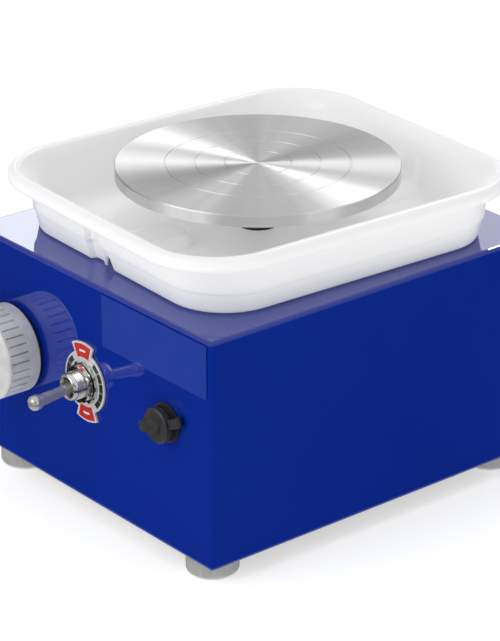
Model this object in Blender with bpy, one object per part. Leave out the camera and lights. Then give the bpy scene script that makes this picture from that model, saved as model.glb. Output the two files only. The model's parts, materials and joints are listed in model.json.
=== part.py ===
"""A small table-top pottery wheel: a painted steel box on four feet, a speed knob, a toggle switch and a
power inlet on its front, a white splash basin on its top, and an aluminium wheel head driven by a belt.

Metres, +Z up. The front, with the controls, faces -Y. Every piece is placed from the spindle's axis."""

import math

import bmesh
import bpy
from mathutils import Matrix, Vector

MM = 0.001
GAP = 0.3 * MM

# Driving sizes
BOX_X = 160 * MM
BOX_Y = 180 * MM
BOX_Z = 100 * MM
FOOT_Z = 9 * MM
SHEET = 1.5 * MM
HEAD_RADIUS = 60 * MM
HEAD_THICK = 5 * MM
HEAD_TOP = 29.3 * MM  # above the box
LEVER_REACH = 29 * MM  # from the front panel to the tip of the switch lever

TOP = FOOT_Z + BOX_Z
CEILING = TOP - SHEET
FRONT = -BOX_Y / 2
PANEL_BACK = FRONT + SHEET
FLOOR = FOOT_Z + SHEET + GAP  # top of the base plate, and the clearance over it

# Basin, measured about the spindle before its small turn on the box
BASIN_TURN = math.radians(-2.5)
BASIN_WALL = 1.8 * MM
BASIN_X, BASIN_Y = 70.2 * MM, 76 * MM  # half sizes where it stands on the box
RIM_X, RIM_Y = 75.4 * MM, 85.7 * MM  # half sizes at the middle of the rim's bead
RIM_Z = TOP + 24.3 * MM
BEAD = 3.4 * MM
FOOT_CORNER, RIM_CORNER = 26 * MM, 31 * MM
BASIN_LOW = TOP + GAP
BASIN_FLOOR = TOP + 2.1 * MM
BASIN_HOLE = 8.3 * MM
RIB_LOW = (-15.6 * MM, 5.6 * MM)  # sides of the hollow rib where it meets the floor
RIB_HIGH = (-13.8 * MM, 2.8 * MM)
RIB_TOP = TOP + 8.3 * MM
RIB_END = -34.5 * MM
FLUTE_X = -13.3 * MM  # left edge of the upright flute in the wall over the rib's mouth
FLUTE_DEPTH = 2.4 * MM
MOUTH_X = (-4.6 * MM, 2.2 * MM)  # sides of the hollow rib's mouth at the wall's foot
MOUTH_HIGH = 5.4 * MM  # above the box

# The whole model is moved along Y so that its box is centred on the origin.
BASIN_REACH = (
    (RIM_Y - RIM_CORNER) * math.cos(BASIN_TURN)
    + (RIM_X - RIM_CORNER) * abs(math.sin(BASIN_TURN))
    + RIM_CORNER
    + BEAD
)
LEVER_PIVOT = 5.2 * MM  # in front of the panel
LEVER_TILT = math.radians(5.5)  # where the lever stands, below the straight-out position
LEVER_FRONT = LEVER_PIVOT + (LEVER_REACH - LEVER_PIVOT) * math.cos(LEVER_TILT)
SPINDLE_Y = (BOX_Y / 2 + LEVER_FRONT - BASIN_REACH) / 2

# Controls
KNOB_AT = (-49.6 * MM, FRONT, 63.4 * MM)
SWITCH_AT = (-1.2 * MM, FRONT, 64 * MM)
JACK_AT = (52 * MM, FRONT, 65.3 * MM)
KNOB_RADIUS = 19.3 * MM
KNOB_FRONT = 18.4 * MM  # in front of the panel
PLATE_TURN = math.radians(-4)
CAP_TURN = math.radians(-22)  # the dust cap's pull tab and strap, off the level
PLATE_RADIUS = 13.4 * MM  # round part of the switch's plate
PLATE_TAB_REACH = 17.6 * MM  # radius of the arc that ends each of its tabs
PLATE_TAB_HALF = math.radians(24)  # half the angle that a tab spans

# Drive
SPINDLE_RADIUS = 6 * MM
MOTOR_Y = 56 * MM
MOTOR_RADIUS = 21 * MM
BELT_Z = 39 * MM
BELT_WIDTH = 4 * MM
BELT_THICK = 2.4 * MM
BIG_GROOVE, SMALL_GROOVE = 29.5 * MM, 7.4 * MM
BEARING_OUT, BEARING_IN = 14 * MM, 6.3 * MM
BEARING_THICK = 8 * MM
UPPER_BEARING_Z = 95 * MM
LOWER_BEARING_Z = 59 * MM

MATERIALS = {}


def clear_scene():
    for item in list(bpy.data.objects):
        bpy.data.objects.remove(item, do_unlink=True)


def material(name, colour, roughness, metallic=0.0):
    made = bpy.data.materials.new(name)
    made.use_nodes = True
    shader = made.node_tree.nodes["Principled BSDF"]
    shader.inputs["Base Color"].default_value = (*colour, 1)
    shader.inputs["Roughness"].default_value = roughness
    shader.inputs["Metallic"].default_value = metallic
    made.diffuse_color = (*colour, 1)
    MATERIALS[name] = made


def make_materials():
    material("blue_paint", (0.01, 0.04, 0.32), 0.22)
    material("white_plastic", (0.86, 0.86, 0.86), 0.25)
    material("turned_aluminium", (0.80, 0.80, 0.80), 0.28, 1.0)
    material("plated_steel", (0.72, 0.71, 0.69), 0.2, 1.0)
    material("chrome", (0.8, 0.8, 0.8), 0.08, 1.0)
    material("steel", (0.55, 0.55, 0.56), 0.35, 1.0)
    material("black_plastic", (0.02, 0.02, 0.02), 0.4)
    material("black_rubber", (0.015, 0.015, 0.015), 0.6)
    material("board_green", (0.02, 0.16, 0.06), 0.45)
    material("label_blue", (0.03, 0.08, 0.38), 0.3)


# ---------------------------------------------------------------- shape helpers


def add_object(name, mesh_builder, finish, place=(0, 0, 0), turn=(0, 0, 0)):
    """An object from a filled bmesh, parented to the frame, at a place in the spindle's frame."""
    mesh = bpy.data.meshes.new(name)
    bmesh.ops.recalc_face_normals(mesh_builder, faces=mesh_builder.faces)
    mesh_builder.to_mesh(mesh)
    mesh_builder.free()
    made = bpy.data.objects.new(name, mesh)
    bpy.context.collection.objects.link(made)
    made.parent = bpy.data.objects["spindle_frame"]
    made.location = place
    made.rotation_euler = turn
    if finish:
        mesh.materials.append(MATERIALS[finish])
    mesh.shade_smooth()
    mesh.set_sharp_from_angle(angle=math.radians(35))
    return made


def cutter(made):
    made.hide_render = True
    made.display_type = "WIRE"
    return made


def combine(body, other, operation="DIFFERENCE"):
    modifier = body.modifiers.new(f"{operation.lower()}_{other.name}", "BOOLEAN")
    modifier.operation = operation
    modifier.solver = "EXACT"
    modifier.object = other
    cutter(other)


def bevel(made, width, segments=2, angle=30):
    modifier = made.modifiers.new("bevel", "BEVEL")
    modifier.width = width
    modifier.segments = segments
    modifier.limit_method = "ANGLE"
    modifier.angle_limit = math.radians(angle)


def turned_mesh(profile, segments):
    """A closed profile of (radius, height) points, in order, turned about Z. Radius 0 makes a pole."""
    shape = bmesh.new()
    rings = []
    for radius, height in profile:
        if radius == 0:
            rings.append([shape.verts.new((0, 0, height))])
            continue
        ring = []
        for i in range(segments):
            angle = 2 * math.pi * i / segments
            ring.append(shape.verts.new((radius * math.cos(angle), radius * math.sin(angle), height)))
        rings.append(ring)
    closed = profile[0][0] != 0
    last = len(rings) if closed else len(rings) - 1
    for k in range(last):
        join_rings(shape, rings[k], rings[(k + 1) % len(rings)])
    return shape


def join_rings(shape, first, second):
    count = max(len(first), len(second))
    for i in range(count):
        j = (i + 1) % count
        corners = []
        for ring, index in ((first, i), (first, j), (second, j), (second, i)):
            vertex = ring[index if len(ring) > 1 else 0]
            if vertex not in corners:
                corners.append(vertex)
        if len(corners) > 2:
            shape.faces.new(corners)


def turned(name, profile, finish, place=(0, 0, 0), segments=40, forward=False):
    """A turned piece; with forward, its axis points out of the front panel (-Y)."""
    turn = (math.pi / 2, 0, 0) if forward else (0, 0, 0)
    return add_object(name, turned_mesh(profile, segments), finish, place, turn)


def tube(name, outer, inner, low, high, finish, place=(0, 0, 0), segments=40, forward=False):
    profile = [(outer, low), (outer, high), (inner, high), (inner, low)]
    return turned(name, profile, finish, place, segments, forward)


def disc(name, radius, low, high, finish, place=(0, 0, 0), segments=40, forward=False):
    profile = [(0, low), (radius, low), (radius, high), (0, high)]
    return turned(name, profile, finish, place, segments, forward)


def prism_mesh(outline, low, high):
    """An outline of (x, y) points, pulled up along Z."""
    shape = bmesh.new()
    below = [shape.verts.new((x, y, low)) for x, y in outline]
    above = [shape.verts.new((x, y, high)) for x, y in outline]
    shape.faces.new(list(reversed(below)))
    shape.faces.new(above)
    join_rings(shape, below, above)
    return shape


def prism(name, outline, low, high, finish, place=(0, 0, 0), forward=False):
    turn = (math.pi / 2, 0, 0) if forward else (0, 0, 0)
    return add_object(name, prism_mesh(outline, low, high), finish, place, turn)


def block(name, low, high, finish):
    """A box between two corners."""
    outline = ((low[0], low[1]), (high[0], low[1]), (high[0], high[1]), (low[0], high[1]))
    return add_object(name, prism_mesh(outline, low[2], high[2]), finish)


def rounded_outline(half_x, half_y, corner, steps=6):
    """A rounded rectangle about the origin, anticlockwise."""
    points = []
    for side_x, side_y, start in ((1, -1, -90), (1, 1, 0), (-1, 1, 90), (-1, -1, 180)):
        for k in range(steps + 1):
            angle = math.radians(start + 90 * k / steps)
            x = side_x * (half_x - corner) + corner * math.cos(angle)
            y = side_y * (half_y - corner) + corner * math.sin(angle)
            points.append((x, y))
    return points


def hexagon(across_flats):
    radius = across_flats / math.sqrt(3)
    return [(radius * math.cos(math.pi * k / 3), radius * math.sin(math.pi * k / 3)) for k in range(6)]


def nut(name, across_flats, thick, bore, finish, place, forward=False):
    """A hexagon nut that stands on its place."""
    made = prism(name, hexagon(across_flats), 0, thick, finish, place, forward)
    hole = disc(f"{name}_bore", bore, -thick, 2 * thick, None, place, 24, forward)
    combine(made, hole)
    return made


def arc(centre, radius, start, stop, steps):
    """Points of an arc in a profile, angles in degrees."""
    points = []
    for k in range(steps + 1):
        angle = math.radians(start + (stop - start) * k / steps)
        points.append((centre[0] + radius * math.cos(angle), centre[1] + radius * math.sin(angle)))
    return points


def lead(name, route, finish, thick=1.1 * MM):
    """A wire between two pieces, on a smooth curve through its route."""
    dense = []
    for k in range(len(route) - 1):
        before = Vector(route[max(k - 1, 0)])
        start = Vector(route[k])
        end = Vector(route[k + 1])
        after = Vector(route[min(k + 2, len(route) - 1)])
        for step in range(4):
            t = step / 4
            point = 0.5 * (
                2 * start
                + (end - before) * t
                + (2 * before - 5 * start + 4 * end - after) * t**2
                + (3 * start - before - 3 * end + after) * t**3
            )
            dense.append(point)
    dense.append(Vector(route[-1]))
    curve = bpy.data.curves.new(name, "CURVE")
    curve.dimensions = "3D"
    spline = curve.splines.new("POLY")
    spline.points.add(len(dense) - 1)
    for spot, point in zip(spline.points, dense):
        spot.co = (*point, 1)
    curve.bevel_depth = thick
    curve.bevel_resolution = 1
    curve.use_fill_caps = True
    curve.materials.append(MATERIALS[finish])
    made = bpy.data.objects.new(name, curve)
    bpy.context.collection.objects.link(made)
    made.parent = bpy.data.objects["spindle_frame"]
    return made


# ---------------------------------------------------------------- the box


def make_housing():
    """Shell of folded sheet, open below, with a turned-in flange and three studs under its top."""
    half_x, half_y = BOX_X / 2, BOX_Y / 2
    shell = block("housing", (-half_x, -half_y, FOOT_Z), (half_x, half_y, TOP), "blue_paint")
    bevel(shell, 1.6 * MM, 3)
    inside = block(
        "housing_inside",
        (-half_x + SHEET, -half_y + SHEET, FOOT_Z - SHEET),
        (half_x - SHEET, half_y - SHEET, CEILING),
        None,
    )
    combine(shell, inside)
    for side in (-1, 1):
        inner = side * (half_x - 12 * MM)
        outer = side * (half_x - SHEET / 2)
        flange = block(
            f"housing_flange_{side}",
            (min(inner, outer), -half_y + SHEET / 2, FLOOR),
            (max(inner, outer), half_y - SHEET / 2, FLOOR + SHEET),
            None,
        )
        combine(shell, flange, "UNION")
    for k, (x, y) in enumerate(stud_places()):
        stud = disc(f"housing_stud_{k}", 2 * MM, 96 * MM, CEILING + SHEET / 2, None, (x, y, 0), 16)
        combine(shell, stud, "UNION")
    for k, (x, y) in enumerate(base_screw_places()):
        hole = disc(f"flange_hole_{k}", 2.2 * MM, FLOOR - SHEET / 2, FLOOR + 2 * SHEET, None, (x, y, 0), 16)
        combine(shell, hole)
    spindle_hole = disc("spindle_hole", 12.6 * MM, CEILING - SHEET, TOP + SHEET, None, segments=48)
    combine(shell, spindle_hole)
    for name, place, radius in (
        ("knob", KNOB_AT, 5 * MM),
        ("switch", SWITCH_AT, 6.4 * MM),
        ("jack", JACK_AT, 5.9 * MM),
    ):
        hole = disc(f"{name}_hole", radius, -2 * SHEET, 2 * SHEET, None, place, 32, forward=True)
        combine(shell, hole)


def stud_places():
    return [
        (22.6 * MM * math.cos(math.radians(angle)), 22.6 * MM * math.sin(math.radians(angle)))
        for angle in (90, 210, 330)
    ]


def base_screw_places():
    return [(x * 73.5 * MM, y * 45 * MM) for x in (-1, 1) for y in (-1, 1)]


def foot_places():
    return {
        f"{row}_{side}": (x * (BOX_X / 2 - 15.6 * MM), y * (BOX_Y / 2 - 12.9 * MM))
        for row, y in (("front", -1), ("rear", 1))
        for side, x in (("left", -1), ("right", 1))
    }


def make_base_plate():
    half_x = BOX_X / 2 - SHEET - GAP
    half_y = BOX_Y / 2 - SHEET - GAP
    plate = block("base_plate", (-half_x, -half_y, FOOT_Z), (half_x, half_y, FOOT_Z + SHEET), "steel")
    for k, (x, y) in enumerate(base_screw_places()):
        combine(plate, disc(f"base_hole_{k}", 2.4 * MM, 0, FLOOR, None, (x, y, 0), 16))
    for name, (x, y) in foot_places().items():
        combine(plate, disc(f"foot_hole_{name}", 2.4 * MM, 0, FLOOR, None, (x, y, 0), 16))
    slot_half = 22 * MM
    for k in range(5):
        middle = -10 * MM + 5 * MM * k
        slot = block(
            f"vent_{k}", (-slot_half, middle, 0), (slot_half, middle + 2 * MM, FLOOR), None
        )
        combine(plate, slot)


def make_base_screws():
    names = ("rear_left", "front_left", "rear_right", "front_right")
    places = sorted(base_screw_places(), key=lambda place: (place[0], -place[1]))
    for name, (x, y) in zip(names, places):
        head_low = FOOT_Z - 2.2 * MM
        head_high = FOOT_Z - GAP
        profile = [
            (0, head_low),
            (2.6 * MM, head_low),
            (3.6 * MM, head_low + 0.9 * MM),
            (3.6 * MM, head_high),
            (1.9 * MM, head_high),
            (1.9 * MM, FLOOR + 5 * MM),
            (0, FLOOR + 5 * MM),
        ]
        turned(f"base_screw_{name}", profile, "plated_steel", (x, y, 0), 20)


def make_feet():
    """Plated steel cups, each with a stud through the base plate and a rubber pad pressed in below."""
    low, high = 0.6 * MM, FOOT_Z - GAP
    outer, inner, roof = 11 * MM, 9.4 * MM, 6.4 * MM
    cup = [
        (0, roof),
        (inner, roof),
        (inner, low),
        *arc((outer - 1.2 * MM, low + 1.2 * MM), 1.2 * MM, -90, 0, 2),
        *arc((outer - 0.5 * MM, high - 0.5 * MM), 0.5 * MM, 0, 90, 1),
        (2 * MM, high),
        (2 * MM, FLOOR + 4 * MM),
        (0, FLOOR + 4 * MM),
    ]
    pad = [
        (0, 0),
        (inner - 0.9 * MM, 0),
        (inner - GAP, 0.6 * MM),
        (inner - GAP, roof - GAP),
        (0, roof - GAP),
    ]
    for name, (x, y) in foot_places().items():
        turned(f"foot_{name}", cup, "plated_steel", (x, y, 0), 24)
        turned(f"foot_pad_{name}", pad, "black_rubber", (x, y, 0), 20)


# ---------------------------------------------------------------- spindle and drive


def make_bearings():
    """Flanged tube bolted under the box's top, with a ball bearing in each end."""
    flange_low = CEILING - 4.3 * MM
    flange_high = CEILING - GAP
    seat = BEARING_OUT + GAP
    tube_out = 18 * MM
    tube_low = LOWER_BEARING_Z - 1 * MM
    profile = [
        (tube_out, tube_low),
        (tube_out, flange_low),
        (27 * MM, flange_low),
        (27 * MM, flange_high),
        (seat, flange_high),
        (seat, UPPER_BEARING_Z - GAP),
        (11 * MM, UPPER_BEARING_Z - GAP),
        (11 * MM, LOWER_BEARING_Z + BEARING_THICK + GAP),
        (seat, LOWER_BEARING_Z + BEARING_THICK + GAP),
        (seat, tube_low),
    ]
    holder = turned("bearing_holder", profile, "steel", segments=32)
    for k, (x, y) in enumerate(stud_places()):
        combine(holder, disc(f"stud_clearance_{k}", 2.6 * MM, 90 * MM, TOP, None, (x, y, 0), 18))
    for level, low in (("upper", UPPER_BEARING_Z), ("lower", LOWER_BEARING_Z)):
        high = low + BEARING_THICK
        tube(f"{level}_bearing_outer_ring", BEARING_OUT, 11.2 * MM, low, high, "chrome", segments=28)
        tube(f"{level}_bearing_inner_ring", 9 * MM, BEARING_IN, low, high, "chrome", segments=24)


def make_bearing_nuts():
    for k, (x, y) in enumerate(stud_places()):
        place = (x, y, CEILING - 4.3 * MM - GAP - 3 * MM)
        nut(f"bearing_nut_{k + 1}", 7 * MM, 3 * MM, 2.3 * MM, "plated_steel", place)


def make_spindle():
    """Stepped shaft: pulley seat, two bearing seats, a collar, and the flat that drives the wheel head."""
    shoulder = TOP + 12 * MM
    collar_low = UPPER_BEARING_Z + BEARING_THICK + GAP
    profile = [
        (0, 31 * MM),
        (SPINDLE_RADIUS - 1 * MM, 31 * MM),
        (SPINDLE_RADIUS, 32 * MM),
        (SPINDLE_RADIUS, collar_low),
        (8.5 * MM, collar_low),
        (8.5 * MM, collar_low + 2.4 * MM),
        (SPINDLE_RADIUS, collar_low + 2.4 * MM),
        (SPINDLE_RADIUS, shoulder - GAP),
        (4.6 * MM, shoulder - GAP),
        (4.6 * MM, shoulder + 8 * MM),
        (3.8 * MM, shoulder + 9 * MM),
        (0, shoulder + 9 * MM),
    ]
    shaft = turned("spindle", profile, "steel", segments=32)
    flat = block(
        "spindle_flat",
        (3.6 * MM, -6 * MM, shoulder - GAP),
        (8 * MM, 6 * MM, shoulder + 12 * MM),
        None,
    )
    combine(shaft, flat)
    tube("spindle_circlip", 8.6 * MM, SPINDLE_RADIUS + GAP, 56 * MM, 57 * MM, "steel", segments=24)
    return shoulder


def make_seal():
    """Rubber boot over the upper bearing, seated in its holder, that stands up through the basin."""
    low = UPPER_BEARING_Z + BEARING_THICK + GAP
    seal = [
        (10.2 * MM, low),
        (13.9 * MM, low),
        (13.9 * MM, CEILING - GAP),
        (12.2 * MM, CEILING - GAP),
        (12.2 * MM, TOP - 0.2 * MM),
        (7.6 * MM, TOP - 0.2 * MM),
        (7.6 * MM, TOP + 3.2 * MM),
        (7 * MM, TOP + 3.8 * MM),
        (6.5 * MM, TOP + 3.8 * MM),
        (6.5 * MM, low + 3 * MM),
        (10.2 * MM, low + 3 * MM),
    ]
    turned("spindle_seal", seal, "black_rubber", segments=24)


def groove_pulley(name, groove, bore, hub, place):
    """A pulley whose groove holds the belt, and a hub above it."""
    low = BELT_Z - BELT_WIDTH / 2 - 0.6 * MM
    high = BELT_Z + BELT_WIDTH / 2 + 0.6 * MM
    edge = groove + 4 * MM
    profile = [
        (bore, low - 2 * MM),
        (edge, low - 2 * MM),
        (edge, low - 0.8 * MM),
        (groove, low),
        (groove, high),
        (edge, high + 0.8 * MM),
        (edge, high + 2 * MM),
        (hub, high + 2 * MM),
        (hub, high + 6 * MM),
        (bore, high + 6 * MM),
    ]
    return turned(name, profile, "turned_aluminium", place, 36 if groove > 15 * MM else 20)


def tangent_loop(grow):
    """The outline of a belt round both pulleys, grown outwards from the groove floors."""
    big, small = BIG_GROOVE + grow, SMALL_GROOVE + grow
    lean = math.asin((big - small) / MOTOR_Y)
    points = []
    for k in range(25):
        angle = math.pi - lean + (math.pi + 2 * lean) * k / 24
        points.append((big * math.cos(angle), big * math.sin(angle)))
    for k in range(13):
        angle = lean + (math.pi - 2 * lean) * k / 12
        points.append((small * math.cos(angle), MOTOR_Y + small * math.sin(angle)))
    return points


def make_belt():
    shape = bmesh.new()
    inner, outer = tangent_loop(0.4 * MM), tangent_loop(0.4 * MM + BELT_THICK)
    low, high = BELT_Z - BELT_WIDTH / 2, BELT_Z + BELT_WIDTH / 2
    loops = []
    for outline, height in ((inner, low), (outer, low), (outer, high), (inner, high)):
        loops.append([shape.verts.new((x, y, height)) for x, y in outline])
    for k in range(4):
        join_rings(shape, loops[k], loops[(k + 1) % 4])
    add_object("drive_belt", shape, "black_rubber")


def make_motor():
    """A brushed DC motor, shaft down, on a bridge bracket that stands on the base plate."""
    deck = 48 * MM
    deck_top = deck + 2 * MM
    leg_x, leg_y = 29 * MM, (MOTOR_Y - 22 * MM, MOTOR_Y + 24 * MM)
    bracket = block("motor_bracket", (-leg_x, leg_y[0], FLOOR), (leg_x, leg_y[1], deck_top), "steel")
    under = block(
        "motor_bracket_under",
        (-leg_x + 2 * MM, leg_y[0] - 5 * MM, 0),
        (leg_x - 2 * MM, leg_y[1] + 5 * MM, deck),
        None,
    )
    combine(bracket, under)
    for side in (-1, 1):
        inner, outer = side * (leg_x - 1 * MM), side * (leg_x + 9 * MM)
        toe = block(
            f"motor_bracket_toe_{side}",
            (min(inner, outer), leg_y[0], FLOOR),
            (max(inner, outer), leg_y[1], FLOOR + 2 * MM),
            None,
        )
        combine(bracket, toe, "UNION")
    hole = disc("motor_boss_hole", 7 * MM, deck - 5 * MM, deck_top + 5 * MM, None, (0, MOTOR_Y, 0), 24)
    combine(bracket, hole)

    can_low, can_high = deck_top + GAP, deck_top + 50 * MM
    can = [
        (2.4 * MM, can_low - 2 * MM),
        (6.5 * MM, can_low - 2 * MM),
        (6.5 * MM, can_low),
        (MOTOR_RADIUS - 1.5 * MM, can_low),
        (MOTOR_RADIUS, can_low + 1.5 * MM),
        (MOTOR_RADIUS, can_high - 1.5 * MM),
        (MOTOR_RADIUS - 1.5 * MM, can_high),
        (5 * MM, can_high),
        (5 * MM, can_high + 2 * MM),
        (2.4 * MM, can_high + 2 * MM),
    ]
    motor = turned("motor", can, "steel", (0, MOTOR_Y, 0), 32)
    for k, side in enumerate((-1, 1)):
        place = (side * 12 * MM, MOTOR_Y, 0)
        combine(bracket, disc(f"motor_screw_hole_{k}", 1.8 * MM, 40 * MM, 60 * MM, None, place, 16))
        combine(motor, disc(f"motor_thread_{k}", 1.8 * MM, 40 * MM, can_low + 5 * MM, None, place, 16))
        screw = [
            (0, deck - 2.5 * MM),
            (2.8 * MM, deck - 2.5 * MM),
            (2.8 * MM, deck - GAP),
            (1.5 * MM, deck - GAP),
            (1.5 * MM, can_low + 4 * MM),
            (0, can_low + 4 * MM),
        ]
        turned(f"motor_screw_{('left', 'right')[k]}", screw, "plated_steel", place, 16)
    disc("motor_shaft", 2 * MM, 32 * MM, can_high + 4 * MM, "chrome", (0, MOTOR_Y, 0), 16)


def make_drive():
    make_bearings()
    make_bearing_nuts()
    shoulder = make_spindle()
    make_seal()
    groove_pulley("spindle_pulley", BIG_GROOVE, SPINDLE_RADIUS + GAP, 11 * MM, (0, 0, 0))
    groove_pulley("motor_pulley", SMALL_GROOVE, 2.3 * MM, 5 * MM, (0, MOTOR_Y, 0))
    make_belt()
    make_motor()
    return shoulder


# ---------------------------------------------------------------- wheel head and basin


def make_wheel_head(shoulder):
    """Turned disc with a hub below, whose blind D-shaped bore drops over the spindle."""
    top = TOP + HEAD_TOP
    below = top - HEAD_THICK
    profile = [
        (0, top),
        (HEAD_RADIUS - 0.7 * MM, top),
        (HEAD_RADIUS, top - 0.7 * MM),
        (HEAD_RADIUS, below + 0.5 * MM),
        (HEAD_RADIUS - 0.5 * MM, below),
        (15 * MM, below),
        (14 * MM, below - 1 * MM),
        (14 * MM, shoulder),
        (0, shoulder),
    ]
    head = turned("wheel_head", list(reversed(profile)), "turned_aluminium", segments=72)
    bore = disc("wheel_head_bore", 4.9 * MM, shoulder - 5 * MM, shoulder + 10 * MM, None, segments=24)
    flat = block(
        "wheel_head_bore_flat",
        (3.9 * MM, -8 * MM, shoulder - 8 * MM),
        (9 * MM, 8 * MM, shoulder + 12 * MM),
        None,
    )
    combine(bore, flat)
    combine(head, bore)


def basin_ring(grow, height, half_x=BASIN_X, half_y=BASIN_Y, corner=FOOT_CORNER):
    outline = rounded_outline(half_x + grow, half_y + grow, corner + grow, 6)
    return [(x, y, height) for x, y in outline]


def basin_rings():
    """The tray's section as rings: up the wall outside, round the bead, and down the wall inside."""
    step = TOP + 8.8 * MM
    lean, sill, draft = 1.5 * MM, 0.7 * MM, 1.1 * MM
    rings = [
        basin_ring(-1 * MM, BASIN_LOW),
        basin_ring(0, BASIN_LOW + 1 * MM),
        basin_ring(lean, step),
        basin_ring(lean + sill, step + 0.5 * MM),
        basin_ring(lean + sill + draft, RIM_Z - BEAD + 0.8 * MM),
    ]
    for angle in (-70, -35, 0, 35, 70, 105, 140):
        grow = BEAD * math.cos(math.radians(angle))
        height = RIM_Z + BEAD * math.sin(math.radians(angle))
        rings.append(basin_ring(grow, height, RIM_X, RIM_Y, RIM_CORNER))
    fillet = 5.5 * MM
    rings.append(basin_ring(lean + sill + draft - BASIN_WALL, RIM_Z - 2 * MM))
    for angle in (0, 30, 60, 90):
        grow = 0.9 * MM - BASIN_WALL - fillet * (1 - math.cos(math.radians(angle)))
        rings.append(basin_ring(grow, BASIN_FLOOR + fillet * (1 - math.sin(math.radians(angle)))))
    return rings


def tray_mesh():
    shape = bmesh.new()
    loops = [[shape.verts.new(point) for point in ring] for ring in basin_rings()]
    for below, above in zip(loops, loops[1:]):
        join_rings(shape, below, above)
    shape.faces.new(loops[0])
    shape.faces.new(loops[-1])
    return shape


def loft_mesh(*levels):
    """Outlines of (x, y) points with the same count, each with its height, joined in order."""
    shape = bmesh.new()
    loops = [[shape.verts.new((x, y, height)) for x, y in outline] for outline, height in levels]
    for first, second in zip(loops, loops[1:]):
        join_rings(shape, first, second)
    shape.faces.new(loops[0])
    shape.faces.new(loops[-1])
    return shape


def rib_outline(sides, inset, wall_y):
    """Plan of the rib from the wall to an end with round corners, inset on all sides but the wall's."""
    left, right = sides[0] + inset, sides[1] - inset
    end = RIB_END - inset
    corner = 6 * MM - inset
    points = [(left, wall_y), (right, wall_y)]
    points += arc((right - corner, end - corner), corner, 0, 90, 4)
    points += arc((left + corner, end - corner), corner, 90, 180, 4)
    return points


def flute_outline(face_y, deeper, far_y):
    """Plan of the flute: a sharp left side, a flat back and a right side that curves out to the wall."""
    back = face_y + FLUTE_DEPTH + deeper
    left = FLUTE_X - deeper
    return [
        (left, far_y),
        (-1.6 * MM + deeper, far_y),
        (-2 * MM + deeper, back - 3.8 * MM),
        (-3.4 * MM + deeper, back - 1.9 * MM),
        (-5.6 * MM + deeper, back - 0.5 * MM),
        (-8 * MM, back),
        (left, back),
    ]


def add_rib(basin, end):
    """The hollow rib, its mouth and the flute at one end. The rear ones are the front ones, turned round."""
    turn = (0, 0, BASIN_TURN + (math.pi if end == "rear" else 0))
    far = -100 * MM
    inside_wall = -(BASIN_Y - 0.6 * MM)
    edge = 1.4 * MM
    sill = RIM_Z - 4.4 * MM
    low_face, sill_face = -(BASIN_Y + 0.1 * MM), -(BASIN_Y + 3.1 * MM)

    def piece(label, shape):
        return add_object(f"basin_{end}_{label}", shape, None, turn=turn)

    rib = loft_mesh(
        (rib_outline(RIB_LOW, 0, inside_wall), BASIN_LOW + 0.6 * MM),
        (rib_outline(RIB_LOW, 0, inside_wall), BASIN_FLOOR),
        (rib_outline(RIB_HIGH, -0.4 * MM, inside_wall), RIB_TOP - edge),
        (rib_outline(RIB_HIGH, 0.1 * MM, inside_wall), RIB_TOP - edge / 3),
        (rib_outline(RIB_HIGH, edge, inside_wall), RIB_TOP),
    )
    combine(basin, piece("rib", rib), "UNION")
    bulge = loft_mesh(
        (flute_outline(low_face, BASIN_WALL, low_face + 0.2 * MM), TOP + 3 * MM),
        (flute_outline(sill_face, BASIN_WALL, sill_face + 0.2 * MM), sill + BASIN_WALL),
    )
    combine(basin, piece("bulge", bulge), "UNION")
    wall = BASIN_WALL
    hollow_end = low_face + FLUTE_DEPTH + wall
    hollow = loft_mesh(
        (rib_outline(RIB_LOW, wall, hollow_end), TOP - 4 * MM),
        (rib_outline(RIB_LOW, wall, hollow_end), BASIN_LOW + 0.5 * MM),
        (rib_outline(RIB_HIGH, wall - 0.5 * MM, hollow_end), RIB_TOP - wall - edge),
        (rib_outline(RIB_HIGH, wall + edge / 2, hollow_end), RIB_TOP - wall),
    )
    combine(basin, piece("hollow", hollow))
    left, right = MOUTH_X
    mouth = [
        (left, -4 * MM),
        (right + 1 * MM, -4 * MM),
        (right, MOUTH_HIGH - 3.4 * MM),
        (right - 1 * MM, MOUTH_HIGH - 1.2 * MM),
        (right - 2.6 * MM, MOUTH_HIGH),
        (left, MOUTH_HIGH),
    ]
    shape = prism_mesh([(x, TOP + z) for x, z in mouth], -(hollow_end + 1 * MM), -far)
    opening = add_object(f"basin_{end}_mouth", shape, None, turn=(math.pi / 2, 0, turn[2]))
    combine(basin, opening)
    flute = loft_mesh(
        (flute_outline(low_face, 0, far), TOP - 1 * MM),
        (flute_outline(sill_face, 0, far), sill),
    )
    combine(basin, piece("flute", flute))


def make_basin():
    """One moulded tray: rounded rectangle, rolled rim, a hole for the spindle, and a rib at each end."""
    basin = add_object("basin", tray_mesh(), "white_plastic", turn=(0, 0, BASIN_TURN))
    for end in ("front", "rear"):
        add_rib(basin, end)
    combine(basin, disc("basin_hole", BASIN_HOLE, TOP - BOX_Z, TOP + BOX_Z, None, segments=32))


# ---------------------------------------------------------------- controls on the front panel


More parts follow.
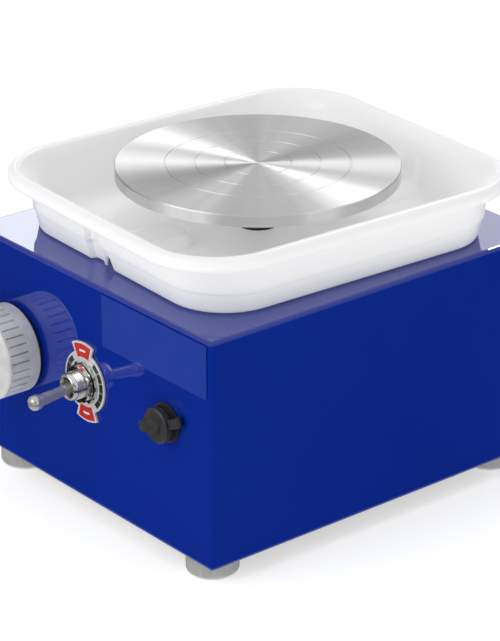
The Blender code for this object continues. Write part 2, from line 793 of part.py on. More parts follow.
def make_speed_control():
    """Potentiometer behind the panel, with its nut, and the knob on its shaft."""
    back = -(SHEET + GAP)
    body_radius, shaft_radius, thread_radius = 12 * MM, 3 * MM, 4.7 * MM
    bore = shaft_radius + GAP
    thread_end, shaft_end = 5.4 * MM, 13.6 * MM
    body = [
        (bore, back - 9 * MM),
        (body_radius - 1 * MM, back - 9 * MM),
        (body_radius, back - 8 * MM),
        (body_radius, back),
        (thread_radius, back),
        (thread_radius, thread_end),
        (bore, thread_end),
    ]
    turned("speed_control_body", body, "steel", KNOB_AT, 32, forward=True)
    disc("speed_control_shaft", shaft_radius, back - 8 * MM, shaft_end, "chrome", KNOB_AT, 20, forward=True)
    nut_place = (KNOB_AT[0], FRONT - GAP, KNOB_AT[2])
    nut("speed_control_nut", 12.7 * MM, 2.4 * MM, thread_radius + GAP, "plated_steel", nut_place, True)
    washer = KNOB_RADIUS - 1.6 * MM
    tube("knob_washer", washer, 9 * MM, GAP, 1.4 * MM, "black_plastic", KNOB_AT, 48, forward=True)

    rear, chamfer = 1.8 * MM, 1.2 * MM
    dish = KNOB_FRONT - 0.7 * MM
    pocket_radius, pocket_end = 8.6 * MM, 6.4 * MM
    knob = [
        (0, shaft_end + 0.4 * MM),
        (bore, shaft_end + 0.4 * MM),
        (bore, pocket_end),
        (pocket_radius, pocket_end),
        (pocket_radius, rear),
        (KNOB_RADIUS - 0.6 * MM, rear),
        (KNOB_RADIUS, rear + 0.6 * MM),
        (KNOB_RADIUS, KNOB_FRONT - chamfer),
        (KNOB_RADIUS - chamfer, KNOB_FRONT),
        (KNOB_RADIUS - chamfer - 1.2 * MM, KNOB_FRONT),
        (KNOB_RADIUS - chamfer - 1.8 * MM, dish),
        (0, dish),
    ]
    made = turned("speed_knob", knob, "turned_aluminium", KNOB_AT, 48, forward=True)
    screw_place = (KNOB_AT[0], FRONT - 9.6 * MM, KNOB_AT[2])
    screw_radius, screw_top, screw_end = 1.5 * MM, 3.7 * MM, 10 * MM
    hole = turned_mesh(
        [
            (0, 2 * MM),
            (screw_radius + GAP, 2 * MM),
            (screw_radius + GAP, KNOB_RADIUS + 10 * MM),
            (0, KNOB_RADIUS + 10 * MM),
        ],
        16,
    )
    combine(made, add_object("grub_hole", hole, None, screw_place, (math.pi, 0, 0)))
    screw = [(0, screw_top), (screw_radius, screw_top), (screw_radius, screw_end), (0, screw_end)]
    add_object("knob_grub_screw", turned_mesh(screw, 16), "steel", screw_place, (math.pi, 0, 0))


def make_switch():
    """Toggle switch: body behind the panel, threaded bushing, nut, washer, plate and lever."""
    back = -(SHEET + GAP)
    outline = rounded_outline(9 * MM, 14 * MM, 1 * MM, 2)
    prism(
        "switch_body", outline, back - 17 * MM, back - 1.2 * MM, "black_plastic", SWITCH_AT, forward=True
    )
    thread_radius, thread_end = 6 * MM, 10.3 * MM
    bushing = [
        (2.6 * MM, back - 0.9 * MM),
        (8.2 * MM, back - 0.9 * MM),
        (8.2 * MM, back),
        (thread_radius, back),
        (thread_radius, thread_end - 0.8 * MM),
        (thread_radius - 0.6 * MM, thread_end),
        (4.6 * MM, thread_end),
        (4 * MM, thread_end - 0.8 * MM),
        (4 * MM, 2.4 * MM),
        (2.6 * MM, 1 * MM),
    ]
    turned("switch_bushing", bushing, "plated_steel", SWITCH_AT, 32, forward=True)
    make_switch_plate(thread_radius + GAP)
    clear = thread_radius + GAP
    tube("switch_washer", 9 * MM, clear, 1.5 * MM, 2.3 * MM, "plated_steel", SWITCH_AT, 32, forward=True)
    nut_place = (SWITCH_AT[0], FRONT - 2.6 * MM, SWITCH_AT[2])
    nut("switch_nut", 15 * MM, 2.4 * MM, clear, "plated_steel", nut_place, True)

    reach = LEVER_REACH - LEVER_PIVOT
    lever = [
        (0, -3.2 * MM),
        (2.2 * MM, -2.4 * MM),
        (3.2 * MM, 0),
        (2.3 * MM, 2.4 * MM),
        (2.0 * MM, 5 * MM),
        (2.5 * MM, reach - 8 * MM),
        (3.2 * MM, reach - 4 * MM),
        (3.1 * MM, reach - 1.6 * MM),
        (2.2 * MM, reach - 0.5 * MM),
        (0, reach),
    ]
    pivot = (SWITCH_AT[0], FRONT - LEVER_PIVOT, SWITCH_AT[2])
    turn = (math.pi / 2 + LEVER_TILT, 0, 0)
    add_object("switch_lever", turned_mesh(lever, 20), "chrome", pivot, turn)


def make_switch_plate(bore):
    """Round plate with a fan-shaped tab above and below, for the two position marks."""
    tab_steps, round_steps = 4, 12
    points = []
    for middle in (-math.pi / 2, math.pi / 2):
        for k in range(tab_steps + 1):
            angle = middle + PLATE_TAB_HALF * (2 * k / tab_steps - 1)
            points.append((PLATE_TAB_REACH * math.cos(angle), PLATE_TAB_REACH * math.sin(angle)))
        sweep = math.pi - 2 * PLATE_TAB_HALF
        for k in range(round_steps + 1):
            angle = middle + PLATE_TAB_HALF + sweep * k / round_steps
            points.append((PLATE_RADIUS * math.cos(angle), PLATE_RADIUS * math.sin(angle)))
    turn = (math.pi / 2, PLATE_TURN, 0)
    shape = prism_mesh(points, GAP, 1.2 * MM)
    plate = add_object("switch_plate", shape, "turned_aluminium", SWITCH_AT, turn)
    combine(plate, disc("switch_plate_hole", bore, -2 * MM, 4 * MM, None, SWITCH_AT, 32, True))


def make_power_inlet():
    """Barrel power socket with a nut behind the panel, and a rubber dust cap on a strap."""
    barrel = [
        (0, -14 * MM),
        (5.5 * MM, -14 * MM),
        (5.5 * MM, GAP + 1.2 * MM),
        (7.6 * MM, GAP + 1.2 * MM),
        (7.6 * MM, GAP + 2.2 * MM),
        (3.4 * MM, GAP + 2.2 * MM),
        (3.4 * MM, -9 * MM),
        (1 * MM, -9 * MM),
        (1 * MM, 0),
        (0, 0.6 * MM),
    ]
    turned("power_socket", barrel, "black_plastic", JACK_AT, 32, forward=True)
    thick = 2.5 * MM
    back_place = (JACK_AT[0], FRONT + SHEET + GAP + thick, JACK_AT[2])
    nut("power_socket_nut", 14 * MM, thick, 5.8 * MM, "plated_steel", back_place, True)
    make_cap()
    make_strap()


def make_cap():
    """Round cap with a raised boss, a hollow plug and a pull tab on its left."""
    seat = 2.8 * MM
    top = seat + 5.2 * MM
    cap = [
        (0, 1.5 * MM),
        (1.6 * MM, 1.5 * MM),
        (1.6 * MM, -4 * MM),
        (3.0 * MM, -4 * MM),
        (3.0 * MM, seat),
        (7.2 * MM, seat),
        (7.5 * MM, seat + 0.6 * MM),
        (7.5 * MM, seat + 3 * MM),
        (6.9 * MM, seat + 3.6 * MM),
        (3.6 * MM, seat + 3.6 * MM),
        (3.3 * MM, top - 0.2 * MM),
        (0, top),
    ]
    made = turned("dust_cap", cap, "black_rubber", JACK_AT, 32, forward=True)
    outline = [
        (-6.5 * MM, 2.6 * MM),
        (-11.6 * MM, 2.2 * MM),
        (-12.4 * MM, 0),
        (-11.6 * MM, -2.2 * MM),
        (-6.5 * MM, -2.6 * MM),
    ]
    tab = prism_mesh(outline, seat + 1 * MM, seat + 2.6 * MM)
    combine(made, add_object("dust_cap_tab", tab, None, JACK_AT, (math.pi / 2, CAP_TURN, 0)), "UNION")


def make_strap():
    """A ring held behind the socket's flange, and a strap that loops forward beside the cap."""
    low = GAP
    ring = tube(
        "cap_strap", 8.4 * MM, 5.9 * MM, low, low + 0.9 * MM, "black_rubber", JACK_AT, 32, forward=True
    )
    thick, bend, half_wide = 1 * MM, 2.6 * MM, 2 * MM
    start_x, end_x, bend_x = 8 * MM, 8.3 * MM, 10 * MM
    points = [
        (start_x, low),
        *arc((bend_x, low + bend), bend, -90, 90, 8),
        (end_x, low + 2 * bend),
        (end_x, low + 2 * bend - thick),
        *arc((bend_x, low + bend), bend - thick, 90, -90, 8),
        (start_x, low + thick),
    ]
    band = prism_mesh([(x, -y) for x, y in points], -half_wide, half_wide)
    combine(ring, add_object("cap_strap_loop", band, None, JACK_AT, (0, CAP_TURN, 0)), "UNION")


def make_label():
    """A blank film label on the front panel."""
    film = 0.2 * MM
    low = (10.6 * MM, FRONT - GAP - film, TOP - 25 * MM)
    high = (77.6 * MM, FRONT - GAP, TOP - 2.2 * MM)
    block("front_label", low, high, "label_blue")


# ---------------------------------------------------------------- electronics


def make_electronics():
    """Motor controller on a folded bracket, with its heat sink and the leads to it."""
    bracket_top = FLOOR + 8 * MM
    bracket = block("board_bracket", (-40 * MM, -80 * MM, FLOOR), (40 * MM, -36 * MM, bracket_top), "steel")
    under_top = bracket_top - 1.2 * MM
    under = block("board_bracket_under", (-37 * MM, -90 * MM, 0), (37 * MM, -30 * MM, under_top), None)
    combine(bracket, under)
    board_low = bracket_top + GAP
    board_high = board_low + 1.6 * MM
    block("control_board", (-38 * MM, -79 * MM, board_low), (38 * MM, -37 * MM, board_high), "board_green")
    part_low = board_high + GAP
    make_heat_sink(part_low)
    make_leads(part_low)


def make_heat_sink(low):
    """Block of five upright fins on a base."""
    first, fin, slot_width, base = -34 * MM, 2.4 * MM, 3 * MM, 3 * MM
    sink = block(
        "heat_sink", (first, -76 * MM, low), (-12 * MM, -50 * MM, low + 14 * MM), "turned_aluminium"
    )
    for k in range(4):
        left = first + fin + 5 * MM * k
        low_corner = (left, -80 * MM, low + base)
        high_corner = (left + slot_width, -45 * MM, low + 20 * MM)
        combine(sink, block(f"heat_sink_slot_{k}", low_corner, high_corner, None))


def make_leads(part_low):
    """Wires from the inlet, the switch and the motor down to the board."""
    over = part_low + 1.2 * MM
    end_y = -73 * MM
    power = [
        (JACK_AT[0], FRONT + 15.6 * MM, JACK_AT[2]),
        (JACK_AT[0], -68 * MM, 58 * MM),
        (46 * MM, -66 * MM, 44 * MM),
        (27 * MM, -72 * MM, over + 5 * MM),
        (24 * MM, end_y, over),
    ]
    switch = [
        (SWITCH_AT[0], FRONT + 20.4 * MM, SWITCH_AT[2]),
        (SWITCH_AT[0], -62 * MM, 58 * MM),
        (4 * MM, -64 * MM, 46 * MM),
        (6 * MM, -71 * MM, over + 6 * MM),
        (6 * MM, end_y, over),
    ]
    motor = [
        (16 * MM, end_y, over),
        (17 * MM, -66 * MM, over + 8 * MM),
        (40 * MM, -40 * MM, 54 * MM),
        (44 * MM, 10 * MM, 80 * MM),
        (30 * MM, 40 * MM, 102 * MM),
        (10 * MM, MOTOR_Y, 103 * MM),
    ]
    for name, route in (("power_lead", power), ("switch_lead", switch), ("motor_lead", motor)):
        lead(name, route, "black_plastic")


def main():
    clear_scene()
    frame = bpy.data.objects.new("spindle_frame", None)
    frame.location = (0, SPINDLE_Y, 0)
    bpy.context.collection.objects.link(frame)
    make_materials()
    make_housing()
    make_base_plate()
    make_base_screws()
    make_feet()
    shoulder = make_drive()
    make_wheel_head(shoulder)
    make_basin()
    make_speed_control()
    make_switch()
    make_power_inlet()
    make_label()
    make_electronics()


main()
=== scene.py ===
"""A small table-top pottery wheel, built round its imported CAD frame. Metres, +Z up, controls towards -Y."""

import json
import math

import bmesh
import bpy
from mathutils import Matrix, Vector


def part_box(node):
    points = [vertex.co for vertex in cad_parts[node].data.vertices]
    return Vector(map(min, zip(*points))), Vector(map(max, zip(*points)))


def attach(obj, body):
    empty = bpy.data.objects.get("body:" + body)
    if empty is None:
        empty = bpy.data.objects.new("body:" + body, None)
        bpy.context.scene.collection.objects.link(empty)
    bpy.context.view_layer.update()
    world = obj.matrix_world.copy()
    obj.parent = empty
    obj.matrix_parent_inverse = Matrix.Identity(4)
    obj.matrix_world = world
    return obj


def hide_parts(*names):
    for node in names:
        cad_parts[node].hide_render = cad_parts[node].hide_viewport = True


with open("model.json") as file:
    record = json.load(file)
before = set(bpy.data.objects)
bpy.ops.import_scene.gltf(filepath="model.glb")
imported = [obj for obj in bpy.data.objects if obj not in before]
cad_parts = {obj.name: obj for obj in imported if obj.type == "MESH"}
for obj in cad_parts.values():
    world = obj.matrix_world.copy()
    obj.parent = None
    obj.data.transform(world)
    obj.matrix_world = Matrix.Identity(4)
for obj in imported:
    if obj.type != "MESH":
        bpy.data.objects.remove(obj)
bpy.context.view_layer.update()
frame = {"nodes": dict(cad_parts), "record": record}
NODES = frame["nodes"]
SLOT_OF = {entry["node"]: entry["material_slot"] for entry in frame["record"]["subparts"]}
MM = 0.001
PI = math.pi


def middle(node):
    low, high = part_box(node)
    return (low + high) / 2


HEAD_LOW, HEAD_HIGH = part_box("wheel_head")
BOX_LOW, BOX_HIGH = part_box("housing")
TOP = BOX_HIGH.z
FRONT = BOX_LOW.y
SPINDLE = Vector((middle("spindle_pulley").x, middle("spindle_pulley").y, 0))
KNOB_AT = Vector((middle("speed_knob").x, FRONT, middle("speed_knob").z))
SWITCH_AT = Vector((middle("switch_bushing").x, FRONT, middle("switch_bushing").z))

# The camera: axes and place from a fit to the photograph's box, wheel head and feet.
CAMERA_RIGHT = (0.637786, 0.770213, 0.001061)
CAMERA_UP = (-0.310944, 0.256222, 0.915240)
CAMERA_BACK = (0.704657, -0.584057, 0.402908)
CAMERA_AT = (0.88607, -0.73860 + SPINDLE.y, 0.57419)
CAMERA_LENS, CAMERA_SENSOR = 165.82, 36

# The world's grey level at each height of direction, from straight down to straight up. The
# dark band below the horizon is what the front and right faces mirror to the camera.
WORLD_LEVELS = (
    (-1, 0.6), (-0.66, 0.6), (-0.52, 0.01), (-0.33, 0.01), (-0.2, 0.45), (0.05, 0.52),
    (0.2, 0.55), (0.3, 0.2), (0.46, 0.2), (0.58, 0.62), (1, 0.95),
)
# Softboxes: name, place, size, watts. The overhead one makes the wheel head's bright wedges.
LIGHTS = (
    ("key", (-0.2, -1.4, 0.9), (1.2, 1.0), 9),
    ("overhead", (-0.55, 0.99, 1.08), (0.22, 0.22), 2.4),
    ("left_back", (-1.33, 0.78, 0.64), (0.26, 0.22), 0.8),
    ("back", (-0.95, 1.22, 0.70), (0.36, 0.34), 0.8),
    ("side", (1.5, 0.3, 0.7), (0.8, 1.0), 3),
)
LIGHTS_AIM = (0, 0, 0.1)
FLOOR_HALF = 6

# Speed knob, heights measured out of the front panel
KNOB_RADIUS, KNOB_REAR, KNOB_FRONT = 19.25 * MM, 1.8 * MM, 18.35 * MM
KNOB_GROOVES, GROOVE_DEPTH = 32, 1.1 * MM
GROOVE_LOW, GROOVE_HIGH = 7.0 * MM, 16.2 * MM

# Toggle switch
PLATE_TURN = math.radians(4)
TAB_HALF = math.radians(24)
PLATE_RADIUS, TAB_REACH, PLATE_BORE = 13.3 * MM, 17.5 * MM, 6.3 * MM
THREAD_CREST, THREAD_ROOT, THREAD_PITCH = 6.0 * MM, 5.6 * MM, 0.62 * MM
THREAD_START, THREAD_END = 0.7 * MM, 9.3 * MM
NUT_HALF, NUT_LOW, NUT_HIGH, NUT_BORE = 7.5 * MM, 2.6 * MM, 5.0 * MM, 6.15 * MM
NUT_ROUND = NUT_HALF * 1.035
WASHER_TEETH = 12
LEVER_TILT = math.radians(5.5)
LEVER_PIVOT, LEVER_REACH, LEVER_TIP = 5.2 * MM, 23.8 * MM, 3.2 * MM

# Splash basin: half sizes and corner radii at its foot and at its rim
BASIN_TURN = math.radians(-2.5)
BASIN_X, BASIN_Y, FOOT_CORNER = 70.2 * MM, 76 * MM, 26 * MM
RIM_X, RIM_Y, RIM_CORNER = 75.4 * MM, 85.7 * MM, 31 * MM
RIM_Z = TOP + 24.3 * MM
BEAD = 3.38 * MM
BASIN_LOW = TOP + 0.3 * MM
BASIN_FLOOR = TOP + 2.1 * MM
BASIN_STEP = TOP + 8.8 * MM
WALL = 1.8 * MM
FOOT_EDGE = 1.4 * MM
WALL_LEAN, STEP_SILL, UPPER_DRAFT = 1.5 * MM, 0.7 * MM, 1.1 * MM
FLOOR_FILLET, FLOOR_GROW = 5.5 * MM, 0.9 * MM
BASIN_HOLE, FLOOR_RINGS = 8.3 * MM, 44
RIB_CENTRE, RIB_HALF, RIB_CORNER, RIB_END, RIB_HEIGHT = -5.2 * MM, 9.2 * MM, 6 * MM, 35.5 * MM, 6.2 * MM
MOUTH_HEIGHT = 4.6 * MM
FLUTE_DEPTH = 2.5 * MM

# Wheel head
HEAD_THICK, HEAD_CHAMFER, HUB_RADIUS, HUB_BORE = 5 * MM, 0.5 * MM, 14 * MM, 5.2 * MM
HEAD_GROOVES = (14 * MM, 26.5 * MM, 39 * MM)


# ---------------------------------------------------------------- node materials


class Nodes:
    """A material's node tree, with the Principled shader and object coordinates at hand."""

    def __init__(self, name):
        self.material = bpy.data.materials.new(name)
        self.material.use_nodes = True
        self.tree = self.material.node_tree
        self.shader = self.tree.nodes["Principled BSDF"]
        self.place = self.add("ShaderNodeTexCoord").outputs["Object"]

    def add(self, kind, **settings):
        node = self.tree.nodes.new(kind)
        for key, value in settings.items():
            setattr(node, key, value)
        return node

    def link(self, source, target):
        self.tree.links.new(source, target)

    def put(self, node, socket, value):
        """Links an output, or sets a plain value."""
        if isinstance(value, bpy.types.NodeSocket):
            self.link(value, node.inputs[socket])
        else:
            node.inputs[socket].default_value = value

    def shade(self, socket, value):
        self.put(self.shader, socket, value)

    def sets(self, **values):
        """Constants on the shader's own sockets."""
        for key, value in values.items():
            self.shader.inputs[key.replace("_", " ")].default_value = value

    def noise(self, scale, detail=3.0, rough=0.55, at=None, stretch=None):
        at = at or self.place
        if stretch:
            mapping = self.add("ShaderNodeMapping")
            mapping.inputs["Scale"].default_value = stretch
            self.link(at, mapping.inputs["Vector"])
            at = mapping.outputs["Vector"]
        node = self.add("ShaderNodeTexNoise")
        self.link(at, node.inputs["Vector"])
        node.inputs["Scale"].default_value = scale
        node.inputs["Detail"].default_value = detail
        node.inputs["Roughness"].default_value = rough
        return node.outputs["Fac"]

    def ramp(self, value, low, high, out_low, out_high):
        node = self.add("ShaderNodeMapRange", clamp=True)
        for socket, number in (
            ("Value", value),
            ("From Min", low),
            ("From Max", high),
            ("To Min", out_low),
            ("To Max", out_high),
        ):
            self.put(node, socket, number)
        return node.outputs["Result"]

    def math(self, operation, first, second=0.0):
        node = self.add("ShaderNodeMath", operation=operation)
        self.put(node, 0, first)
        self.put(node, 1, second)
        return node.outputs[0]

    def blend(self, *shares):
        """The sum of (output, weight) pairs."""
        total = None
        for output, weight in shares:
            part = output if weight == 1 else self.math("MULTIPLY", output, weight)
            total = part if total is None else self.math("ADD", total, part)
        return total

    def mix(self, factor, first, second):
        """A colour between two (red, green, blue) values."""
        node = self.add("ShaderNodeMix", data_type="RGBA")
        self.put(node, 0, factor)
        self.put(node, 6, (*first, 1))
        self.put(node, 7, (*second, 1))
        return node.outputs[2]

    def bump(self, height, strength, distance):
        node = self.add("ShaderNodeBump")
        self.put(node, "Strength", strength)
        self.put(node, "Distance", distance)
        self.link(height, node.inputs["Height"])
        return node.outputs["Normal"]

    def polar(self, axis_at, upright=True):
        """(radius, angle) of a point about an upright axis, or about one that points at -Y."""
        split = self.add("ShaderNodeSeparateXYZ")
        self.link(self.place, split.inputs[0])
        other = 1 if upright else 2
        first = self.math("SUBTRACT", split.outputs[0], axis_at[0])
        second = self.math("SUBTRACT", split.outputs[other], axis_at[other])
        squares = self.blend(
            (self.math("MULTIPLY", first, first), 1), (self.math("MULTIPLY", second, second), 1)
        )
        return self.math("SQRT", squares), self.math("ARCTAN2", second, first)

    def vector(self, x, y=0.0, z=0.0):
        node = self.add("ShaderNodeCombineXYZ")
        self.put(node, 0, x)
        self.put(node, 1, y)
        self.put(node, 2, z)
        return node.outputs[0]


def grained(name, dark, light, rough, scale, bump=0.0, metallic=0.0, stretch=None, **sockets):
    """A surface whose colour and roughness drift between two values, with a fine bump."""
    n = Nodes(name)
    broad = n.noise(scale * 0.12, 4.0)
    fine = n.noise(scale, stretch=stretch)
    tone = n.ramp(n.blend((broad, 0.6), (fine, 0.4)), 0.35, 0.65, 0, 1)
    n.shade("Base Color", n.mix(tone, dark, light))
    n.shade("Roughness", n.ramp(fine, 0.3, 0.7, *rough))
    if bump:
        n.shade("Normal", n.bump(fine, bump, 0.0004))
    n.sets(Metallic=metallic, **sockets)
    return n.material


def blue_paint():
    """Gloss enamel on sheet steel: a deep blue with a clear film and a faint orange peel."""
    n = Nodes("blue_enamel")
    drift = n.noise(9)
    fleck = n.noise(1600, 2.0)
    tone = n.ramp(n.blend((drift, 1), (fleck, 0.25)), 0.4, 0.85, 0, 1)
    n.shade("Base Color", n.mix(tone, (0.001, 0.018, 0.25), (0.0015, 0.022, 0.275)))
    n.shade("Roughness", n.ramp(n.noise(60), 0.3, 0.7, 0.30, 0.36))
    n.shade("Normal", n.bump(n.noise(420, 2.0), 0.05, 0.0002))
    n.shade("Coat Normal", n.bump(n.noise(260, 1.0), 0.035, 0.0002))
    n.sets(Specular_IOR_Level=0.02, Coat_Weight=1.0, Coat_Roughness=0.02, Coat_IOR=1.62)
    return n.material


def turned_aluminium():
    """Faced on a lathe: fine rings that spread each light into wedges from the centre. Broad bright and dark
    sectors are also painted into the colour, as a painted sheen of those wedges.
    """
    n = Nodes("turned_aluminium")
    radius, angle = n.polar(SPINDLE)
    rings = n.noise(1.0, 2.0, 0.7, n.vector(n.math("MULTIPLY", radius, 1300.0)))
    broad = n.noise(1.0, 3.0, 0.6, n.vector(n.math("MULTIPLY", radius, 260.0), 7.3))
    turn_x, turn_y = n.math("COSINE", angle), n.math("SINE", angle)
    along = n.math("MULTIPLY", radius, 1.2)
    streaks = n.noise(14.0, 2.0, 0.5, n.vector(turn_x, turn_y, along))
    # Painted sheen: broad bright and dark sectors round the centre, painted into the base colour. They make
    # most of the tone below, with the streaks and fine rings making the rest.
    painted_sheen_fans = n.noise(2.6, 2.0, 0.5, n.vector(turn_x, turn_y, 3.7))
    tone = n.ramp(n.blend((streaks, 0.15), (painted_sheen_fans, 0.7), (rings, 0.15)), 0.38, 0.60, 0, 1)
    n.shade("Base Color", n.mix(tone, (0.66, 0.662, 0.665), (0.78, 0.78, 0.78)))
    n.shade("Roughness", n.ramp(n.blend((streaks, 1), (broad, 0.3)), 0.4, 0.9, 0.38, 0.42))
    n.shade("Normal", n.bump(n.blend((rings, 1), (broad, 0.5)), 0.05, 0.0001))
    tangent = n.add("ShaderNodeTangent", direction_type="RADIAL", axis="Z")
    n.shade("Tangent", tangent.outputs[0])
    n.sets(Metallic=1.0, Anisotropic=0.95, Anisotropic_Rotation=0.25)
    return n.material


def knob_aluminium():
    """Metal turned about the knob's axis: fine rings round it, a little uneven in tone."""
    n = Nodes("knob_aluminium")
    radius, angle = n.polar(KNOB_AT, upright=False)
    split = n.add("ShaderNodeSeparateXYZ")
    n.link(n.place, split.inputs[0])
    along = split.outputs[1]
    fine = n.vector(n.math("MULTIPLY", radius, 4200.0), n.math("MULTIPLY", along, 4200.0))
    coarse = n.vector(
        n.math("COSINE", angle), n.math("SINE", angle), n.math("MULTIPLY", along, 60.0)
    )
    rings = n.noise(1.0, 3.0, 0.7, fine)
    patch = n.noise(3.0, 3.0, 0.5, coarse)
    tone = n.ramp(n.blend((rings, 0.5), (patch, 0.5)), 0.35, 0.65, 0, 1)
    n.shade("Base Color", n.mix(tone, (0.60, 0.60, 0.59), (0.76, 0.76, 0.75)))
    n.shade("Roughness", n.ramp(patch, 0.3, 0.7, 0.40, 0.5))
    n.shade("Normal", n.bump(rings, 0.12, 0.0001))
    n.sets(Metallic=0.2, Anisotropic=0.5)
    return n.material


def film_label():
    """Blank blue film: one tone lighter than the enamel, under a softer gloss."""
    n = Nodes("label_film")
    weave = n.noise(2600, 2.0)
    tone = n.ramp(weave, 0.35, 0.65, 0, 1)
    n.shade("Base Color", n.mix(tone, (0.005, 0.032, 0.30), (0.008, 0.038, 0.33)))
    n.shade("Roughness", n.ramp(n.noise(90), 0.3, 0.7, 0.34, 0.42))
    n.shade("Normal", n.bump(weave, 0.03, 0.0001))
    n.sets(Specular_IOR_Level=0.2, Coat_Weight=0.8, Coat_Roughness=0.06)
    return n.material


def floor_paper():
    """Matt white paper that glows a little, as a lit table does."""
    n = Nodes("floor_paper")
    drift = n.noise(2.0)
    n.shade("Base Color", n.mix(drift, (0.92, 0.92, 0.92), (0.95, 0.95, 0.95)))
    n.shade("Emission Strength", n.ramp(drift, 0.3, 0.7, 0.42, 0.44))
    n.sets(Roughness=0.9, Specular_IOR_Level=0.1, Emission_Color=(1, 1, 1, 1))
    return n.material


# Material slot: name, darker and lighter colour, roughness range, grain per metre, bump, metallic
GRAINED = {
    "plated_steel": ("plated_steel", (0.60, 0.595, 0.58), (0.80, 0.79, 0.77), (0.12, 0.26), 500, 0.05, 1.0),
    "chrome": ("bright_chrome", (0.42, 0.42, 0.41), (0.54, 0.54, 0.53), (0.14, 0.20), 260, 0.01, 0.65),
    "foot_silver": ("foot_silver", (0.50, 0.50, 0.50), (0.66, 0.66, 0.65), (0.3, 0.42), 600, 0.05, 0.4),
    "turned_aluminium": (
        "cast_aluminium", (0.58, 0.58, 0.59), (0.76, 0.76, 0.77), (0.28, 0.42), 600, 0.06, 1.0
    ),
    "black_plastic": (
        "black_plastic", (0.012, 0.012, 0.013), (0.022, 0.022, 0.024), (0.34, 0.5), 900, 0.12
    ),
    "black_rubber": (
        "black_rubber", (0.016, 0.017, 0.016), (0.036, 0.037, 0.035), (0.38, 0.55), 800, 0.18
    ),
    "board_green": ("green_board", (0.010, 0.10, 0.035), (0.02, 0.17, 0.06), (0.3, 0.45), 1200, 0.05),
}


def make_finishes():
    finishes = {slot: grained(*row) for slot, row in GRAINED.items()}
    # Painted fill light: the white plastic glows (emission 0.22), which lifts its shade inside the basin and
    # under the wheel head.
    finishes["white_plastic"] = grained(
        "white_plastic", (0.71, 0.71, 0.71), (0.725, 0.725, 0.723), (0.28, 0.32), 60,
        Specular_IOR_Level=0.45, Emission_Color=(1, 1, 1, 1), Emission_Strength=0.22,
    )
    finishes["steel"] = grained(
        "rolled_steel", (0.40, 0.40, 0.41), (0.56, 0.56, 0.57), (0.32, 0.46), 700, 0.08, 1.0,
        stretch=(0.08, 1, 1),
    )
    finishes["blue_paint"] = blue_paint()
    finishes["label_blue"] = film_label()
    return finishes


FINISH = make_finishes()


def dress_cad_nodes():
    for name, node in NODES.items():
        is_foot = name.startswith(("foot_front", "foot_rear"))
        made = FINISH["foot_silver" if is_foot else SLOT_OF[name]]
        if not node.material_slots:
            node.data.materials.append(made)
        for slot in node.material_slots:
            slot.material = made


# ---------------------------------------------------------------- meshes


def smooth_step(low, high, value):
    t = min(max((value - low) / (high - low), 0), 1)
    return t * t * (3 - 2 * t)


def round_point(radius, angle):
    return radius * math.cos(angle), radius * math.sin(angle)


def piece(name, shape, body, material, replaces=(), sharp=32):
    """An object from a bmesh in the row frame, riding on a body. Edges over sharp degrees stay crisp."""
    mesh = bpy.data.meshes.new(name)
    bmesh.ops.recalc_face_normals(shape, faces=shape.faces)
    shape.to_mesh(mesh)
    shape.free()
    made = bpy.data.objects.new(name, mesh)
    bpy.context.scene.collection.objects.link(made)
    mesh.materials.append(material)
    mesh.shade_smooth()
    mesh.set_sharp_from_angle(angle=math.radians(sharp))
    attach(made, body)
    if replaces:
        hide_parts(*replaces)
    return made


def join_rings(shape, first, second):
    """Faces between two rings of vertices. A ring of one vertex is a pole."""
    count = max(len(first), len(second))
    for i in range(count):
        j = (i + 1) % count
        face = []
        for ring, index in ((first, i), (first, j), (second, j), (second, i)):
            vertex = ring[index if len(ring) > 1 else 0]
            if vertex not in face:
                face.append(vertex)
        if len(face) > 2:
            shape.faces.new(face)


def join_loop(shape, rings):
    """Joins each ring to the next, and the last to the first."""
    for k in range(len(rings)):
        join_rings(shape, rings[k], rings[(k + 1) % len(rings)])


def upright(centre):
    """Turned pieces about an upright axis."""
    return lambda radius, angle, height: Vector(
        (centre[0] + radius * math.cos(angle), centre[1] + radius * math.sin(angle), height)
    )


def forward(centre):
    """Turned pieces whose axis points out of the front panel. Height is measured from the centre's y."""
    return lambda radius, angle, height: Vector(
        (centre[0] + radius * math.cos(angle), centre[1] - height, centre[2] + radius * math.sin(angle))
    )


def turned_panel(centre, turn):
    """(u, v, height) on the front panel, turned a little about the panel's normal."""
    return lambda u, v, height: Vector(
        (
            centre[0] + u * math.cos(turn) - v * math.sin(turn),
            centre[1] - height,
            centre[2] + u * math.sin(turn) + v * math.cos(turn),
        )
    )


def lathe(profile, place, segments, wave=None):
    """A closed profile of (radius, height). wave(k, angle) is added to the radius of point k."""
    shape = bmesh.new()
    rings = []
    for k, (radius, height) in enumerate(profile):
        if radius == 0:
            rings.append([shape.verts.new(place(0, 0, height))])
            continue
        ring = []
        for i in range(segments):
            angle = 2 * PI * i / segments
            grow = wave(k, angle) if wave else 0
            ring.append(shape.verts.new(place(radius + grow, angle, height)))
        rings.append(ring)
    last = len(rings) if profile[0][0] and profile[-1][0] else len(rings) - 1
    for k in range(last):
        join_rings(shape, rings[k], rings[(k + 1) % len(rings)])
    return shape


def rounded(points, radius, steps):
    """A profile with each corner rounded. The first and last points stay."""
    out = [points[0]]
    for before, at, after in zip(points, points[1:], points[2:]):
        a, b, c = Vector(before), Vector(at), Vector(after)
        one, two = (a - b), (c - b)
        reach = min(radius, one.length * 0.45, two.length * 0.45)
        start, end = b + one.normalized() * reach, b + two.normalized() * reach
        for k in range(steps + 1):
            t = k / steps
            spot = start * (1 - t) ** 2 + b * 2 * t * (1 - t) + end * t**2
            out.append((spot.x, spot.y))
    out.append(points[-1])
    return out


def prism(outline, low, high, place):
    """An outline of (u, v) pulled from low to high."""
    shape = bmesh.new()
    rings = [[shape.verts.new(place(u, v, height)) for u, v in outline] for height in (low, high)]
    join_rings(shape, *rings)
    shape.faces.new(rings[0])
    shape.faces.new(rings[1])
    return shape


